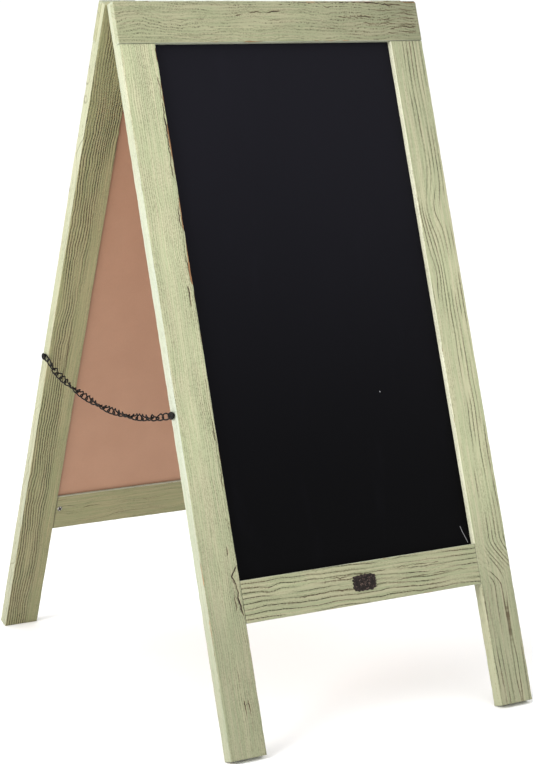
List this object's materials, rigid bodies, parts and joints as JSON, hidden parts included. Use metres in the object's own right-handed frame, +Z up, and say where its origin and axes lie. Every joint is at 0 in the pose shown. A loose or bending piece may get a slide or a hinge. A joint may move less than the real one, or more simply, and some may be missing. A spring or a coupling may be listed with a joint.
{
  "type": "menu chalkboard easel",
  "caption": "Folding A-frame menu chalkboard: two wood-framed boards hinged along the top edge and held open by a chain at the left side.",
  "frame": {"origin": "on the floor, under the hinge line and midway between the outside of the chain and the right side, 5.25 mm to the left of the middle of the boards", "axes": "+Z up, front board faces -Y, +X to the right of someone reading the front board"},
  "size_m": [0.5105, 0.7074, 0.9757],
  "materials": {
    "painted_wood": "distressed sage green paint over softwood, grain and wear showing",
    "dowel_wood": "bare beech",
    "hardboard": "bare brown hardboard, smooth and matt",
    "chalk_surface": "matt black chalkboard coating, faint scratches and chalk dust",
    "black_steel": "blackened steel, satin",
    "zinc_steel": "zinc-plated steel, satin",
    "dark_bronze": "dark antique bronze, relief rubbed brighter"
  },
  "bodies": {
    "front_panel": {"front_top_rail": "painted_wood", "front_bottom_rail": "painted_wood", "front_left_stile": "painted_wood", "front_right_stile": "painted_wood", "front_chalk_sheet": "chalk_surface", "front_backer_board": "hardboard", "front_dowels": "dowel_wood", "front_corner_screws": "zinc_steel", "front_chain_screw": "black_steel", "left_hinge_front_leaf": "zinc_steel", "right_hinge_front_leaf": "zinc_steel", "left_hinge_front_screws": "zinc_steel", "right_hinge_front_screws": "zinc_steel", "left_hinge_pin": "zinc_steel", "right_hinge_pin": "zinc_steel", "badge_plate": "dark_bronze", "badge_pins": "dark_bronze"},
    "back_panel": {"back_top_rail": "painted_wood", "back_bottom_rail": "painted_wood", "back_left_stile": "painted_wood", "back_right_stile": "painted_wood", "back_chalk_sheet": "chalk_surface", "back_backer_board": "hardboard", "back_dowels": "dowel_wood", "back_corner_screws": "zinc_steel", "back_chain_screw": "black_steel", "left_hinge_back_leaf": "zinc_steel", "right_hinge_back_leaf": "zinc_steel", "left_hinge_back_screws": "zinc_steel", "right_hinge_back_screws": "zinc_steel"},
    "chain_1": {"chain_1": "black_steel"},
    "chain_2": {"chain_2": "black_steel"},
    "chain_3": {"chain_3": "black_steel"},
    "chain_7": {"chain_7": "black_steel"},
    "chain_6": {"chain_6": "black_steel"},
    "chain_5": {"chain_5": "black_steel"},
    "chain_4": {"chain_4": "black_steel"}
  },
  "joints": [
    {"name": "fold", "type": "hinge", "parent": "front_panel", "child": "back_panel", "pos_m": [0, 0, 0.97226], "axis": [1, 0, 0], "range_deg": [-38, 0], "deforming": ["chain_1", "chain_2", "chain_3", "chain_4", "chain_5", "chain_6", "chain_7"]},
    {"name": "chain_1_bend", "type": "hinge", "parent": "front_panel", "child": "chain_1", "pos_m": [-0.2461, -0.1951, 0.43881], "axis": [1, 0, 0], "range_deg": [-77.72, 0]},
    {"name": "chain_2_bend", "type": "hinge", "parent": "chain_1", "child": "chain_2", "pos_m": [-0.25025, -0.11714, 0.42157], "axis": [1, 0, 0], "range_deg": [-8.35, 0]},
    {"name": "chain_3_bend", "type": "hinge", "parent": "chain_2", "child": "chain_3", "pos_m": [-0.25025, -0.02194, 0.41469], "axis": [1, 0, 0], "range_deg": [0, 46.37]},
    {"name": "chain_7_bend", "type": "hinge", "parent": "back_panel", "child": "chain_7", "pos_m": [-0.2461, 0.18957, 0.45489], "axis": [1, 0, 0], "range_deg": [0, 111.1]},
    {"name": "chain_6_bend", "type": "hinge", "parent": "chain_7", "child": "chain_6", "pos_m": [-0.25025, 0.11324, 0.43141], "axis": [1, 0, 0], "range_deg": [0, 8.1]},
    {"name": "chain_5_bend", "type": "hinge", "parent": "chain_6", "child": "chain_5", "pos_m": [-0.25025, 0.01897, 0.41646], "axis": [1, 0, 0], "range_deg": [-9.51, 0]},
    {"name": "chain_4_bend", "type": "hinge", "parent": "chain_5", "child": "chain_4", "pos_m": [-0.25025, 0.00535, 0.41555], "axis": [1, 0, 0], "range_deg": [-55.69, 0]}
  ],
  "couplings": [
    {"joint": "chain_1_bend", "follows": "fold", "ratio": 2.0449},
    {"joint": "chain_2_bend", "follows": "fold", "ratio": 0.21942},
    {"joint": "chain_3_bend", "follows": "fold", "ratio": -1.22},
    {"joint": "chain_7_bend", "follows": "fold", "ratio": -2.9232},
    {"joint": "chain_6_bend", "follows": "fold", "ratio": -0.21275},
    {"joint": "chain_5_bend", "follows": "fold", "ratio": 0.24995},
    {"joint": "chain_4_bend", "follows": "fold", "ratio": 1.4652}
  ]
}
